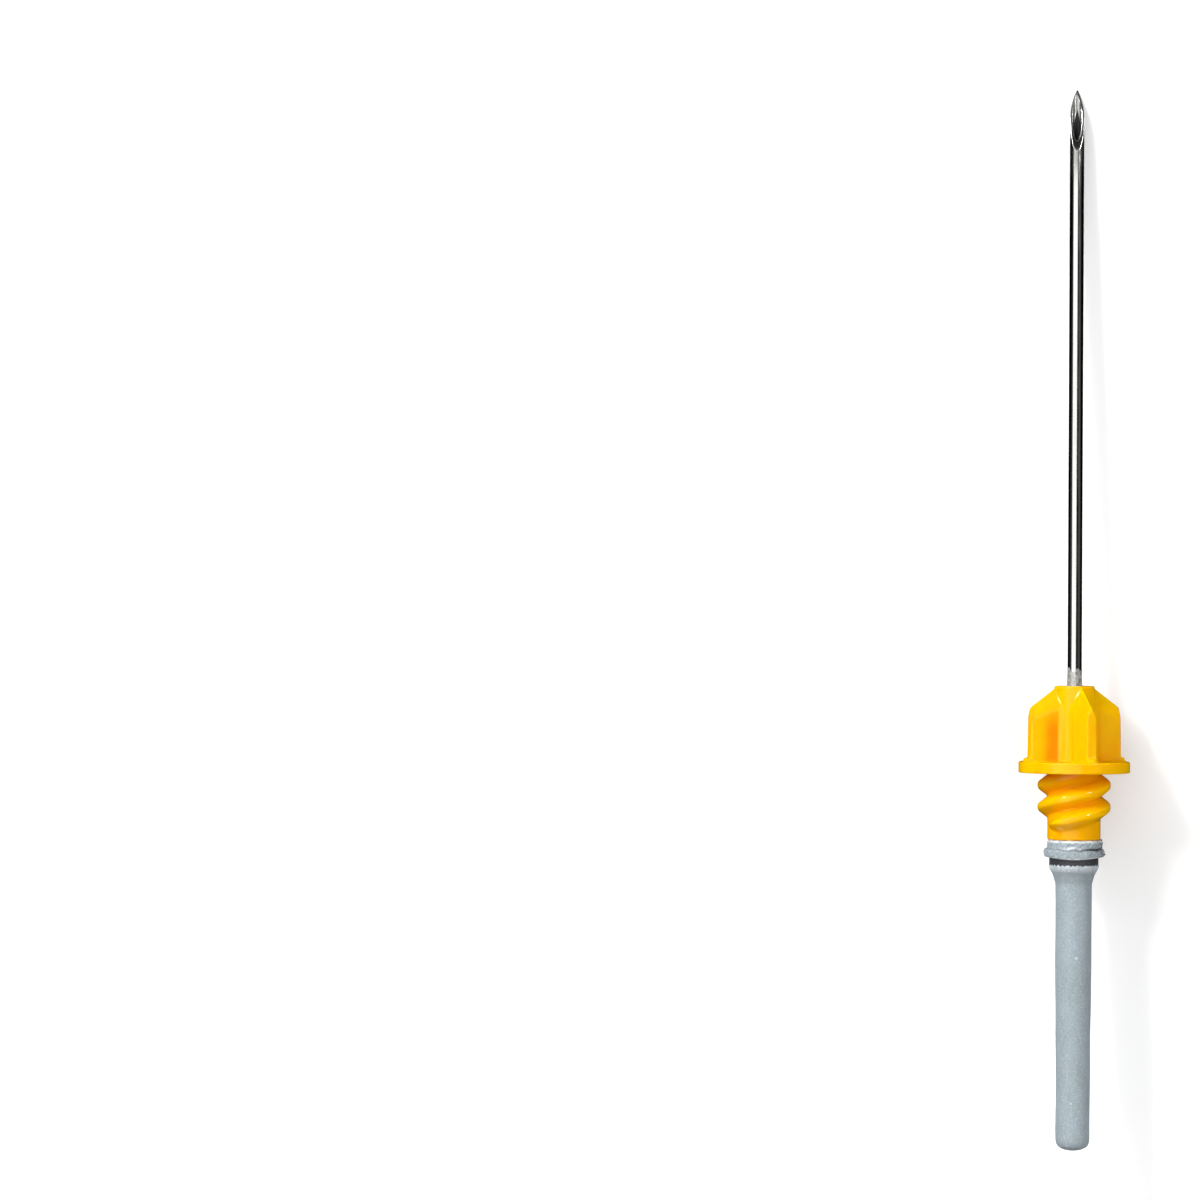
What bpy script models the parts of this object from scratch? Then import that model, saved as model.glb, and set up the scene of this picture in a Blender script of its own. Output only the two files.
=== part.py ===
"""A double-ended blood collection needle, lying at rest on its flange and its point.

The script is in metres with +Z up. Each piece is modelled upright about one needle axis: z = 0 is the
underside of the flange, the patient's end points to +Z, and the bevel of the point faces -Y. One empty then
lays the whole needle down along +Y, with its bevel up, so that the flange's rim and the point touch z = 0.
"""

import math

import bmesh
import bpy
from mathutils import Matrix, Vector

MM = 0.001

# Facets of the turned shapes. Half a facet of turn puts a flat, not a corner, on the underside.
SIDES = 48
HALF_FACET = math.pi / SIDES
ARC_STEPS = 3
MERGE_DISTANCE = 0.001 * MM
SHARP_ANGLE = math.radians(28.0)

# Cannula: 20 gauge steel tube, ground to a point at both ends
CANNULA_RADIUS = 0.454 * MM
CANNULA_BORE_RADIUS = 0.3015 * MM
CANNULA_EXPOSED_LENGTH = 38.11 * MM
FRONT_POINT_LENGTH = 3.98 * MM
REAR_POINT_LENGTH = 2.90 * MM
LANCET_SHORTENING = 0.29 * MM
LANCET_EXTRA_ANGLE = math.radians(5.2)
LANCET_TURN = math.radians(27.0)

# Hub: flange, core and nose
FLANGE_RADIUS = 3.55 * MM
FLANGE_THICKNESS = 0.71 * MM
FLANGE_EDGE = 0.08 * MM
CORE_RADIUS = 1.45 * MM
CORE_FILLET = 0.12 * MM
NOSE_RADIUS = 1.28 * MM
NOSE_HEIGHT = 4.83 * MM
NOSE_EDGE = 0.10 * MM
GLUE_THICKNESS = 0.296 * MM
GLUE_WELL_DEPTH = 1.80 * MM

# Hub: wedge-shaped fins with gabled tops
FIN_COUNT = 4
FIN_TURN = math.radians(21.3)
FIN_SETBACK = 0.45 * MM
FIN_DEPTH_IN_CORE = 0.25 * MM
FIN_ROOT_HALF_WIDTH = 0.66 * MM
FIN_TIP_HALF_WIDTH = 0.33 * MM
FIN_RIDGE_DROP = 0.04 * MM
FIN_RIDGE_ANGLE = math.radians(36.0)
FIN_GABLE_ANGLE = math.radians(61.6)
FIN_DRAFT_ANGLE = math.radians(1.0)
FIN_EDGE = 0.06 * MM
FOOT_RADIUS = 0.32 * MM
FOOT_HEIGHT = 0.23 * MM
FOOT_EDGE = 0.12 * MM

# Hub: double-start right-hand thread on the neck
NECK_RADIUS = 1.69 * MM
NECK_LENGTH = 4.27 * MM
NECK_EDGE = 0.06 * MM
THREAD_STARTS = 2
THREAD_PITCH = 1.40 * MM
THREAD_CREST_RADIUS = 2.31 * MM
THREAD_CREST_HALF_WIDTH = 0.20 * MM
THREAD_ROOT_HALF_WIDTH = 0.635 * MM
THREAD_CREST_EDGE = 0.06 * MM
THREAD_TOP_CREST = 0.80 * MM
PLAIN_NECK_LENGTH = 0.82 * MM
THREAD_DEPTH_IN_NECK = 0.25 * MM
THREAD_FADE_TURN = math.radians(65.0)
THREAD_FADE_HEIGHT = 0.02
THREAD_FADE_WIDTH = 0.4

# Hub: barbed nipple inside the sleeve
NIPPLE_RADIUS = 1.12 * MM
NIPPLE_LENGTH = 2.18 * MM
NIPPLE_TIP_RADIUS = 0.95 * MM
BARB_RADIUS = 1.20 * MM
BARB_LENGTH = 0.75 * MM
BARB_STEP = 0.10 * MM

# Sleeve: closed elastomer tube with a thick two-step rim; each wall is measured from what it covers
SLEEVE_LENGTH = 19.85 * MM
SLEEVE_BORE_RADIUS = 0.74 * MM
SLEEVE_TOP_WALL = 0.42 * MM
SLEEVE_TIP_WALL = 0.345 * MM
SLEEVE_END_WALL = 1.25 * MM
SLEEVE_END_ROUND = 0.75 * MM
RIM_UPPER_WALL = 0.68 * MM
RIM_LOWER_WALL = 0.775 * MM
RIM_UPPER_HEIGHT = 0.46 * MM
RIM_LOWER_HEIGHT = 0.58 * MM
RIM_EDGE = 0.06 * MM
SHOULDER_WALL = 0.365 * MM
SHOULDER_BELOW_BARB = 0.22 * MM
SHOULDER_LENGTH = 1.12 * MM

# Sleeve shoulder: share of its length gone down, and share of its step in radius still left there
SHOULDER_CURVE = ((0.45, 0.5), (0.85, 0.125))

# Clearances
BORE_CLEARANCE = 0.02 * MM
BOND_CLEARANCE = 0.01 * MM
SLEEVE_CLEARANCE = 0.015 * MM
REAR_POINT_CLEARANCE = 1.20 * MM

# Adhesive: cured bead in the well, and the film that crept up the steel
FILM_THICKNESS = 0.05 * MM
FILM_HEIGHT = 1.10 * MM
MENISCUS_HEIGHT = 0.30 * MM

# Sizes that follow from the sizes above
GRIND_SIZE = 4 * max(FRONT_POINT_LENGTH, REAR_POINT_LENGTH)
GLUE_WELL_RADIUS = CANNULA_RADIUS + GLUE_THICKNESS
FIN_RADIUS = FLANGE_RADIUS - FIN_SETBACK
NOSE_TOP = FLANGE_THICKNESS + NOSE_HEIGHT
WELL_BOTTOM = NOSE_TOP - GLUE_WELL_DEPTH
FRONT_TIP = NOSE_TOP + CANNULA_EXPOSED_LENGTH
NIPPLE_END = -NECK_LENGTH - NIPPLE_LENGTH
BARB_TOP = NIPPLE_END + BARB_LENGTH
SLEEVE_TOP = -NECK_LENGTH - SLEEVE_CLEARANCE
SLEEVE_END = SLEEVE_TOP - SLEEVE_LENGTH
SLEEVE_BORE_END = SLEEVE_END + SLEEVE_END_WALL
REAR_TIP = SLEEVE_BORE_END + REAR_POINT_CLEARANCE


def clear_scene():
    for obj in list(bpy.data.objects):
        bpy.data.objects.remove(obj, do_unlink=True)


def collection(name):
    made = bpy.data.collections.new(name)
    bpy.context.scene.collection.children.link(made)
    return made


def material(name, colour, roughness, metallic=0.0, alpha=1.0):
    """A Principled material; colour is linear RGB."""
    made = bpy.data.materials.new(name)
    made.use_nodes = True
    shader = made.node_tree.nodes["Principled BSDF"]
    shader.inputs["Base Color"].default_value = (*colour, 1.0)
    shader.inputs["Roughness"].default_value = roughness
    shader.inputs["Metallic"].default_value = metallic
    shader.inputs["Alpha"].default_value = alpha
    return made


def new_object(name, mesh, home):
    obj = bpy.data.objects.new(name, mesh)
    home.objects.link(obj)
    return obj


def arc(centre_r, centre_z, radius, start, end):
    """Points (r, z) on a round edge, from one angle in degrees to another; 0 points outwards and 90 up."""
    turns = [math.radians(start + (end - start) * i / ARC_STEPS) for i in range(ARC_STEPS + 1)]
    return [(centre_r + radius * math.cos(t), centre_z + radius * math.sin(t)) for t in turns]


def turned(name, profile, home, closed):
    """A shape turned from (r, z) points that run down its outer side; a closed profile gives a tube."""
    cos, sin = math.cos(HALF_FACET), math.sin(HALF_FACET)
    points = [(r * cos, r * sin, z) for r, z in profile]
    edges = [(i, i + 1) for i in range(len(points) - 1)]
    if closed:
        edges.append((len(points) - 1, 0))
    mesh = bpy.data.meshes.new(name)
    mesh.from_pydata(points, edges, [])
    obj = new_object(name, mesh, home)
    screw = obj.modifiers.new("Turn", "SCREW")
    screw.axis = "Z"
    screw.steps = SIDES
    screw.render_steps = SIDES
    screw.use_merge_vertices = True
    screw.merge_threshold = MERGE_DISTANCE
    screw.use_smooth_shade = True
    return obj


def lofted(name, sections, home):
    """A closed body through rings of points that have equal counts, with a face over each end."""
    mesh = bpy.data.meshes.new(name)
    shape = bmesh.new()
    rings = [[shape.verts.new(point) for point in ring] for ring in sections]
    count = len(rings[0])
    for near, far in zip(rings, rings[1:]):
        for i in range(count):
            j = (i + 1) % count
            shape.faces.new((near[i], near[j], far[j], far[i]))
    shape.faces.new(reversed(rings[0]))
    shape.faces.new(rings[-1])
    bmesh.ops.recalc_face_normals(shape, faces=shape.faces)
    shape.to_mesh(mesh)
    shape.free()
    return new_object(name, mesh, home)


def boolean(obj, operation, other):
    cut = obj.modifiers.new(operation.title(), "BOOLEAN")
    cut.operation = operation
    cut.solver = "EXACT"
    cut.object = other


def rounded_edges(obj, width, least_angle):
    bevel = obj.modifiers.new("Edges", "BEVEL")
    bevel.width = width
    bevel.segments = 2
    bevel.limit_method = "ANGLE"
    bevel.angle_limit = least_angle


def helper(obj):
    obj.hide_render = True
    obj.display_type = "WIRE"
    return obj


def finished(obj, look, axis):
    """The piece with its modifiers applied, smooth where it is round, and carried by the needle's axis."""
    bpy.context.view_layer.update()
    evaluated = obj.evaluated_get(bpy.context.evaluated_depsgraph_get())
    mesh = bpy.data.meshes.new_from_object(evaluated)
    mesh.name = obj.name
    obj.modifiers.clear()
    obj.data = mesh
    mesh.shade_smooth()
    mesh.set_sharp_from_angle(angle=SHARP_ANGLE)
    mesh.materials.clear()
    mesh.materials.append(look)
    obj.parent = axis


def half_space(name, point, normal, size, home):
    """A cube whose near face is the plane through point; it removes what lies on normal's side."""
    turn = Vector((0.0, 0.0, 1.0)).rotation_difference(normal).to_matrix().to_4x4()
    place = Matrix.Translation(point + normal * (size / 2)) @ turn
    mesh = bpy.data.meshes.new(name)
    shape = bmesh.new()
    bmesh.ops.create_cube(shape, size=size, matrix=place)
    shape.to_mesh(mesh)
    shape.free()
    return helper(new_object(name, mesh, home))


def point_cutters(name, length, place, home):
    """The long bevel and the two side facets of a lancet point, for a tip at z = 0 that points to +Z."""
    low_side = CANNULA_RADIUS * math.cos(HALF_FACET)
    bevel_angle = math.atan(2 * low_side / (length + LANCET_SHORTENING))
    lancet_angle = bevel_angle + LANCET_EXTRA_ANGLE
    heel = Vector((0.0, -low_side, -length))
    tip = Vector((0.0, low_side, 0.0))
    planes = [(heel, 0.0, bevel_angle), (tip, -LANCET_TURN, lancet_angle), (tip, LANCET_TURN, lancet_angle)]
    cutters = []
    for i, (point, turn, slope) in enumerate(planes):
        outward = Vector((math.sin(turn), -math.cos(turn), 0.0))
        normal = outward * math.cos(slope) + Vector((0.0, 0.0, math.sin(slope)))
        cutter = half_space(f"{name}_{i + 1}", point, normal, GRIND_SIZE, home)
        cutter.data.transform(place)
        cutters.append(cutter)
    return cutters


def cannula(parts, cutters):
    tube = [
        (CANNULA_BORE_RADIUS, FRONT_TIP),
        (CANNULA_RADIUS, FRONT_TIP),
        (CANNULA_RADIUS, REAR_TIP),
        (CANNULA_BORE_RADIUS, REAR_TIP),
    ]
    obj = turned("cannula", tube, parts, closed=True)
    front = Matrix.Translation((0.0, 0.0, FRONT_TIP))
    rear = Matrix.Translation((0.0, 0.0, REAR_TIP)) @ Matrix.Rotation(math.pi, 4, "Y")
    grinds = point_cutters("front_grind", FRONT_POINT_LENGTH, front, cutters)
    grinds += point_cutters("rear_grind", REAR_POINT_LENGTH, rear, cutters)
    for grind in grinds:
        boolean(obj, "DIFFERENCE", grind)
    return obj


def hub_profile():
    """The turned part of the hub, down its outside and back up its bore."""
    bore = CANNULA_RADIUS + BORE_CLEARANCE
    return [
        (GLUE_WELL_RADIUS, NOSE_TOP),
        *arc(NOSE_RADIUS - NOSE_EDGE, NOSE_TOP - NOSE_EDGE, NOSE_EDGE, 90, 0),
        *arc(CORE_RADIUS + CORE_FILLET, FLANGE_THICKNESS + CORE_FILLET, CORE_FILLET, 180, 270),
        *arc(FLANGE_RADIUS - FLANGE_EDGE, FLANGE_THICKNESS - FLANGE_EDGE, FLANGE_EDGE, 90, 0),
        *arc(FLANGE_RADIUS - FLANGE_EDGE, FLANGE_EDGE, FLANGE_EDGE, 0, -90),
        (NECK_RADIUS, 0.0),
        *arc(NECK_RADIUS - NECK_EDGE, NECK_EDGE - NECK_LENGTH, NECK_EDGE, 0, -90),
        (NIPPLE_RADIUS, -NECK_LENGTH),
        (NIPPLE_RADIUS, BARB_TOP + BARB_STEP),
        (BARB_RADIUS, BARB_TOP),
        (NIPPLE_TIP_RADIUS, NIPPLE_END),
        (bore, NIPPLE_END),
        (bore, WELL_BOTTOM),
        (GLUE_WELL_RADIUS, WELL_BOTTOM),
    ]


def fin(index, home):
    """A wedge that narrows outwards, with a ridge that falls away from the nose and a gable beside it."""
    slope = math.tan(FIN_RIDGE_ANGLE)
    knee = NOSE_RADIUS - FIN_RIDGE_DROP / 2 / slope
    widening = (FIN_ROOT_HALF_WIDTH - FIN_TIP_HALF_WIDTH) / (FIN_RADIUS - CORE_RADIUS)
    turn = FIN_TURN + 2 * math.pi * index / FIN_COUNT

    def section(radius):
        half = FIN_TIP_HALF_WIDTH + widening * (FIN_RADIUS - radius)
        ridge = NOSE_TOP - FIN_RIDGE_DROP - (max(radius, knee) - NOSE_RADIUS) * slope
        crease = ridge - half * math.tan(FIN_GABLE_ANGLE)
        base = FLANGE_THICKNESS / 2
        corners = [(-half, base), (-half, crease), (0.0, ridge), (half, crease), (half, base)]
        ring = []
        for across, height in corners:
            out = radius - (height - base) * math.tan(FIN_DRAFT_ANGLE)
            ring.append((
                out * math.cos(turn) - across * math.sin(turn),
                out * math.sin(turn) + across * math.cos(turn),
                height,
            ))
        return ring

    radii = (NOSE_RADIUS - FIN_DEPTH_IN_CORE, knee, FIN_RADIUS)
    made = lofted(f"fin_{index + 1}", [section(radius) for radius in radii], home)
    rounded_edges(made, FIN_EDGE, math.radians(30.0))
    return helper(made)


def foot(index, home):
    """A low round pad on the flange at a fin's outer end."""
    turn = FIN_TURN + 2 * math.pi * index / FIN_COUNT
    reach = FIN_RADIUS - FIN_EDGE
    height = FLANGE_THICKNESS / 2 + FOOT_HEIGHT
    place = Matrix.Translation((
        reach * math.cos(turn),
        reach * math.sin(turn),
        FLANGE_THICKNESS / 2 + height / 2,
    ))
    name = f"foot_{index + 1}"
    mesh = bpy.data.meshes.new(name)
    shape = bmesh.new()
    bmesh.ops.create_cone(
        shape, cap_ends=True, segments=SIDES // 3, radius1=FOOT_RADIUS, radius2=FOOT_RADIUS,
        depth=height, matrix=place,
    )
    shape.to_mesh(mesh)
    shape.free()
    made = new_object(name, mesh, home)
    rounded_edges(made, FOOT_EDGE, math.radians(60.0))
    return helper(made)


def thread(index, home):
    """One start of the thread: a trapezoid carried along a right-hand helix, fading out at its lower end."""
    lead = THREAD_PITCH * THREAD_STARTS
    inside = NECK_RADIUS - THREAD_DEPTH_IN_NECK
    flank = (THREAD_ROOT_HALF_WIDTH - THREAD_CREST_HALF_WIDTH) / (THREAD_CREST_RADIUS - NECK_RADIUS)
    base_half = THREAD_ROOT_HALF_WIDTH + flank * (NECK_RADIUS - inside)
    shape = [
        (inside, -base_half),
        (THREAD_CREST_RADIUS - THREAD_CREST_EDGE, -THREAD_CREST_HALF_WIDTH - THREAD_CREST_EDGE * flank),
        (THREAD_CREST_RADIUS, -THREAD_CREST_HALF_WIDTH + THREAD_CREST_EDGE),
        (THREAD_CREST_RADIUS, THREAD_CREST_HALF_WIDTH - THREAD_CREST_EDGE),
        (THREAD_CREST_RADIUS - THREAD_CREST_EDGE, THREAD_CREST_HALF_WIDTH + THREAD_CREST_EDGE * flank),
        (inside, base_half),
    ]
    start_turn = 2 * math.pi * (THREAD_TOP_CREST + THREAD_ROOT_HALF_WIDTH) / lead
    end_turn = 2 * math.pi * (THREAD_TOP_CREST + PLAIN_NECK_LENGTH - NECK_LENGTH) / lead
    steps = math.ceil((start_turn - end_turn) / (2 * math.pi) * SIDES)
    rings = []
    for i in range(steps + 1):
        turn = start_turn + (end_turn - start_turn) * i / steps
        centre = lead * turn / (2 * math.pi) - THREAD_TOP_CREST
        left = min(1.0, (turn - end_turn) / THREAD_FADE_TURN)
        fade = THREAD_FADE_HEIGHT + (1 - THREAD_FADE_HEIGHT) * math.sin(left * math.pi / 2)
        narrow = THREAD_FADE_WIDTH + (1 - THREAD_FADE_WIDTH) * fade
        angle = turn + 2 * math.pi * index / THREAD_STARTS
        rings.append([
            (
                (inside + (r - inside) * fade) * math.cos(angle),
                (inside + (r - inside) * fade) * math.sin(angle),
                centre + z * narrow,
            )
            for r, z in shape
        ])
    made = lofted(f"thread_{index + 1}", rings, home)
    boolean(made, "INTERSECT", thread_room(index, home))
    return helper(made)


def thread_room(index, home):
    """The height that the thread may fill: from the middle of the flange down."""
    radius = THREAD_CREST_RADIUS + FLANGE_EDGE
    low = -NECK_LENGTH - THREAD_PITCH
    high = FLANGE_THICKNESS / 2
    outline = [(0.0, high), (radius, high), (radius, low), (0.0, low)]
    return helper(turned(f"thread_room_{index + 1}", outline, home, closed=False))


def hub(parts, cutters):
    obj = turned("hub", hub_profile(), parts, closed=True)
    for index in range(FIN_COUNT):
        boolean(obj, "UNION", fin(index, cutters))
        boolean(obj, "UNION", foot(index, cutters))
    for index in range(THREAD_STARTS):
        boolean(obj, "UNION", thread(index, cutters))
    return obj


def adhesive(parts):
    """The bead fills the well, climbs the steel in a hollow curve and ends as a thin film."""
    inner = CANNULA_RADIUS + BOND_CLEARANCE
    outer = GLUE_WELL_RADIUS - BOND_CLEARANCE
    film = inner + FILM_THICKNESS
    low = WELL_BOTTOM + BOND_CLEARANCE
    curve = []
    for i in range(ARC_STEPS + 1):
        turn = math.pi / 2 * i / ARC_STEPS
        curve.append((
            outer - (outer - film) * math.cos(turn),
            NOSE_TOP + MENISCUS_HEIGHT * (1 - math.sin(turn)),
        ))
    profile = [
        (inner, NOSE_TOP + FILM_HEIGHT),
        (inner + FILM_THICKNESS / 2, NOSE_TOP + FILM_HEIGHT),
        (film, NOSE_TOP + FILM_HEIGHT - FILM_THICKNESS),
        *curve,
        (outer, low),
        (inner, low),
    ]
    return turned("adhesive", profile, parts, closed=True)


def sleeve_outside():
    """Down the two-step rim, the groove, the shoulder over the barb and the long tube to its rounded tip."""
    upper = NIPPLE_RADIUS + RIM_UPPER_WALL
    lower = NIPPLE_RADIUS + RIM_LOWER_WALL
    groove = BARB_RADIUS + SHOULDER_WALL
    tube = SLEEVE_BORE_RADIUS + SLEEVE_TOP_WALL
    tip = SLEEVE_BORE_RADIUS + SLEEVE_TIP_WALL - SLEEVE_END_ROUND
    step = SLEEVE_TOP - RIM_UPPER_HEIGHT
    rim_end = step - RIM_LOWER_HEIGHT
    shoulder = BARB_TOP - SHOULDER_BELOW_BARB
    shoulder_curve = [
        (tube + left * (groove - tube), shoulder - down * SHOULDER_LENGTH) for down, left in SHOULDER_CURVE
    ]
    return [
        *arc(upper - RIM_EDGE, SLEEVE_TOP - RIM_EDGE, RIM_EDGE, 90, 0),
        (upper, step),
        *arc(lower - RIM_EDGE, step - RIM_EDGE, RIM_EDGE, 60, 0),
        (lower, rim_end + 2 * RIM_EDGE),
        (lower - 2 * RIM_EDGE, rim_end),
        (groove, rim_end - RIM_EDGE),
        (groove, shoulder),
        *shoulder_curve,
        (tube, shoulder - SHOULDER_LENGTH),
        *arc(tip, SLEEVE_END + SLEEVE_END_ROUND, SLEEVE_END_ROUND, 0, -90),
        (0.0, SLEEVE_END),
    ]


def sleeve_inside():
    """Up the closed bore and over the nipple that the sleeve is stretched on."""
    below = NIPPLE_END - SLEEVE_CLEARANCE
    dome = SLEEVE_BORE_RADIUS / 2
    return [
        (0.0, SLEEVE_BORE_END),
        *arc(SLEEVE_BORE_RADIUS - dome, SLEEVE_BORE_END + dome, dome, -90, 0),
        (SLEEVE_BORE_RADIUS, below - SHOULDER_BELOW_BARB),
        (NIPPLE_TIP_RADIUS + SLEEVE_CLEARANCE, below),
        (BARB_RADIUS + SLEEVE_CLEARANCE, BARB_TOP),
        (NIPPLE_RADIUS + SLEEVE_CLEARANCE, BARB_TOP + BARB_STEP),
        (NIPPLE_RADIUS + SLEEVE_CLEARANCE, SLEEVE_TOP),
    ]


def sleeve(parts):
    return turned("sleeve", sleeve_inside() + sleeve_outside(), parts, closed=False)


def needle_axis(home):
    """The empty that lays the needle down: tip along +Y, bevel up, the middle of its box over the origin."""
    flat = math.cos(HALF_FACET)
    rim = FLANGE_THICKNESS - FLANGE_EDGE
    tilt = math.atan((FLANGE_RADIUS - CANNULA_RADIUS) * flat / (FRONT_TIP - rim))
    cos, sin = math.cos(tilt), math.sin(tilt)
    front = FRONT_TIP * cos - CANNULA_RADIUS * flat * sin
    rear = min(z * cos - r * flat * sin for r, z in sleeve_outside())
    empty = bpy.data.objects.new("needle_axis", None)
    home.objects.link(empty)
    empty.rotation_euler = (-math.pi / 2 - tilt, 0.0, 0.0)
    empty.location = (0.0, -(front + rear) / 2, FLANGE_RADIUS * flat * cos + rim * sin)
    return empty


def main():
    clear_scene()
    parts = collection("blood collection needle")
    cutters = collection("cutters")
    steel = material("stainless steel", (0.62, 0.63, 0.64), 0.22, metallic=1.0)
    yellow = material("yellow polypropylene", (1.0, 0.60, 0.0), 0.32)
    glue = material("cured adhesive", (0.74, 0.76, 0.76), 0.18, alpha=0.75)
    grey = material("grey elastomer", (0.36, 0.42, 0.45), 0.55)
    axis = needle_axis(parts)
    pieces = [
        (cannula(parts, cutters), steel),
        (hub(parts, cutters), yellow),
        (adhesive(parts), glue),
        (sleeve(parts), grey),
    ]
    for obj, look in pieces:
        finished(obj, look, axis)
    for obj in list(cutters.objects):
        bpy.data.objects.remove(obj, do_unlink=True)


main()
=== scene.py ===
"""Blood collection needle, lying on its flange and its point: the finished surfaces over the CAD frame.

The pieces are worked out in needle millimetres, upright: z = 0 is the underside of the flange, the point that
enters the vein is at +z and its bevel faces -y. laid_down() then puts them in the frame, in metres.
"""

import math

import bmesh
import bpy
import numpy as np
from bpy.props import FloatProperty, FloatVectorProperty, IntProperty, PointerProperty
from bpy.types import Operator, Panel, PropertyGroup
from mathutils import Matrix, Vector


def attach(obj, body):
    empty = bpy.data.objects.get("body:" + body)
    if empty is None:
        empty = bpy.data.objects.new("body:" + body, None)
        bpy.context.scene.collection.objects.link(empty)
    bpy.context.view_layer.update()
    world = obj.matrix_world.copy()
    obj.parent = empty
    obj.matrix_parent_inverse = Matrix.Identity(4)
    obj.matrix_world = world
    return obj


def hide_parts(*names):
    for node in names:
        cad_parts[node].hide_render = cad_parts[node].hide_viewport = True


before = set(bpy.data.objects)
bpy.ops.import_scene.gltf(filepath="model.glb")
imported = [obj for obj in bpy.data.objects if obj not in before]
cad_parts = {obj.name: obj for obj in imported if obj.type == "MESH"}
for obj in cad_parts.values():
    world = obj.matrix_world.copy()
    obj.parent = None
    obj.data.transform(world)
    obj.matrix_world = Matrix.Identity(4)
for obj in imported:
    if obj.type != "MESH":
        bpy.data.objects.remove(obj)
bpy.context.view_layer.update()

bl_info = {
    "name": "Blood collection needle",
    "version": (1, 0, 0),
    "blender": (4, 5, 0),
    "location": "View3D > Sidebar > Needle",
    "description": "Builds a double-ended blood collection needle with its studio",
    "category": "Add Mesh",
}

MM = 0.001
NEEDLE_TILT = math.radians(4.107498662)
NEEDLE_TURN = (-math.pi / 2 - NEEDLE_TILT, 0.0, 0.0)
FLANGE_CENTRE = (0.0, -9.704240 * MM, 3.578426 * MM)
ALONG_NEEDLE = Vector((0.0, math.cos(NEEDLE_TILT), -math.sin(NEEDLE_TILT)))
OVER_NEEDLE = Vector((0.0, math.sin(NEEDLE_TILT), math.cos(NEEDLE_TILT)))
SAME_PLACE = 0.0001 * MM
QUARTER = math.pi / 2


def linear(code):
    """The linear RGB of an sRGB hex code."""
    values = [int(code[i:i + 2], 16) / 255 for i in (0, 2, 4)]
    return tuple(v / 12.92 if v <= 0.04045 else ((v + 0.055) / 1.055) ** 2.4 for v in values)


def size(name, description, millimetres):
    """A length that is given in millimetres and kept in metres."""
    return FloatProperty(
        name=name, description=description, default=millimetres * MM, unit="LENGTH", precision=6,
    )


def angle(name, description, degrees):
    """An angle that is given in degrees."""
    return FloatProperty(name=name, description=description, default=math.radians(degrees), subtype="ANGLE")


def number(name, description, value):
    """A plain number, such as a radiance."""
    return FloatProperty(name=name, description=description, default=value)


def colour(name, description, code):
    """A colour that is given as an sRGB hex code."""
    return FloatVectorProperty(
        name=name, description=description, default=linear(code), subtype="COLOR", min=0.0, max=1.0,
    )


class CannulaSizes(PropertyGroup):
    """Sizes of the steel tube and of its two ground points."""

    radius: size("Radius", "Outside radius of the 20 gauge tube", 0.454)
    bore: size("Bore radius", "Inside radius of the tube", 0.3015)
    front_tip: size("Front tip", "Height of the front tip over the flange's underside", 43.75)
    front_point: size("Front bevel", "Length of the front bevel along the tube", 4.06)
    rear_tip: size("Rear tip", "Height of the rear tip, below the flange", -21.685)
    rear_point: size("Rear bevel", "Length of the rear bevel along the tube", 2.90)
    shortening: size("Lancet shortening", "How much the side cuts shorten the bevel", 0.27)
    edge: size("Ground edge", "How far polishing takes down the ground face's two edges", 0.06)
    lancet_extra: angle("Lancet slope", "How much steeper the side cuts are than the bevel", 7.0)
    lancet_turn: angle("Lancet turn", "How far each side cut is turned about the tube", 38.0)


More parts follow.
